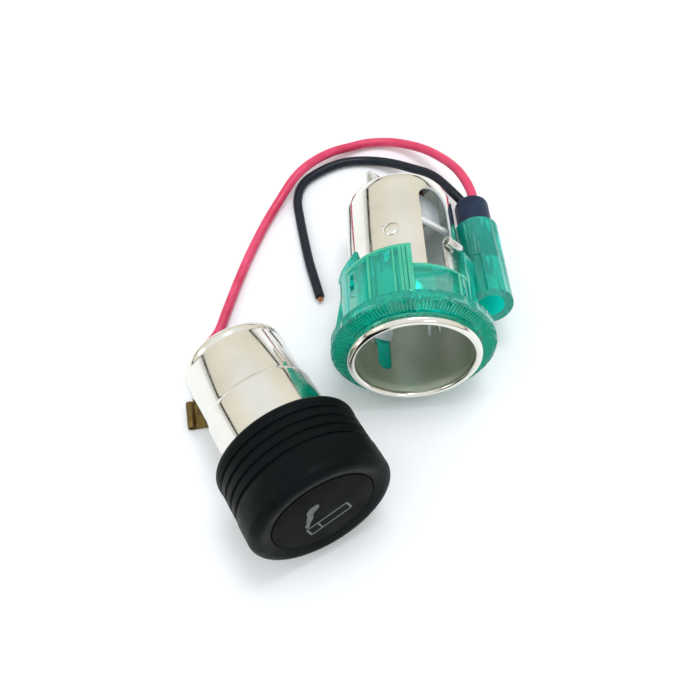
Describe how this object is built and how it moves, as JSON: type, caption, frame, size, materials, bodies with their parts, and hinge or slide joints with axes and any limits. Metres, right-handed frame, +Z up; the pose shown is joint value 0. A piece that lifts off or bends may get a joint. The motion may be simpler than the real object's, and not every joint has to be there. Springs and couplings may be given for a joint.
{
  "type": "car_cigarette_lighter",
  "caption": "Car cigarette lighter: a push-in heater plug with black knob and steel barrel, and its dashboard socket with a green light ring, lamp tube and two wires.",
  "frame": {"origin": "Centre of the box round the plug and socket without their wires, at the surface that they lie on (z = 0).", "axes": "+Z is up from the surface; +Y runs from the plug's knob towards the socket's closed end, the longest direction; +X is to the right seen from the knob side."},
  "size_m": [0.0638, 0.0993, 0.0304],
  "materials": {
    "nickel_steel": "bright nickel plate with faint drawing marks",
    "green_plastic": "clear green moulded plastic",
    "spring_steel": "bright strip",
    "brass": "plain brass",
    "fibre": "pressed insulating fibre",
    "ceramic": "mica and ceramic insulator",
    "black_rubber": "moulded rubber",
    "lamp_glass": "clear glass",
    "filament": "fine wire",
    "knob_plastic": "soft matt moulded plastic",
    "disc_plastic": "smooth moulded plastic",
    "heater_ribbon": "oxidised resistance ribbon",
    "red_insulation": "soft insulation",
    "black_insulation": "soft insulation",
    "copper": "cut copper strands"
  },
  "bodies": {
    "lighter_set": {"socket_shell": "nickel_steel", "light_ring": "green_plastic", "retaining_spring_upper": "spring_steel", "retaining_spring_lower": "spring_steel", "heater_clip": "spring_steel", "clip_spacer": "fibre", "contact_stud": "brass", "stud_washer": "fibre", "positive_tab": "brass", "stud_nut": "spring_steel", "earth_tab": "spring_steel", "bulb_holder": "black_rubber", "bulb_glass": "lamp_glass", "bulb_filament": "filament", "return_spring": "spring_steel", "barrel": "nickel_steel", "guide_plate": "spring_steel", "red_wire": "red_insulation", "red_terminal": "brass", "black_wire": "black_insulation", "black_wire_core": "copper"},
    "plug_core": {"knob": "knob_plastic", "knob_face_disc": "disc_plastic", "stem": "spring_steel", "stem_collar": "spring_steel", "heater_cup": "spring_steel", "cup_insulator": "ceramic", "coil_insulator": "ceramic", "heater_coil": "heater_ribbon", "coil_rivet": "spring_steel"}
  },
  "joints": [
    {"name": "knob_push", "type": "slide", "parent": "lighter_set", "child": "plug_core", "axis": [-0.4864, 0.8597, -0.1561], "range_m": [0, 0.007], "stiffness_N_per_m": 500, "springref_m": -0.005, "deforming": ["return_spring"]}
  ]
}
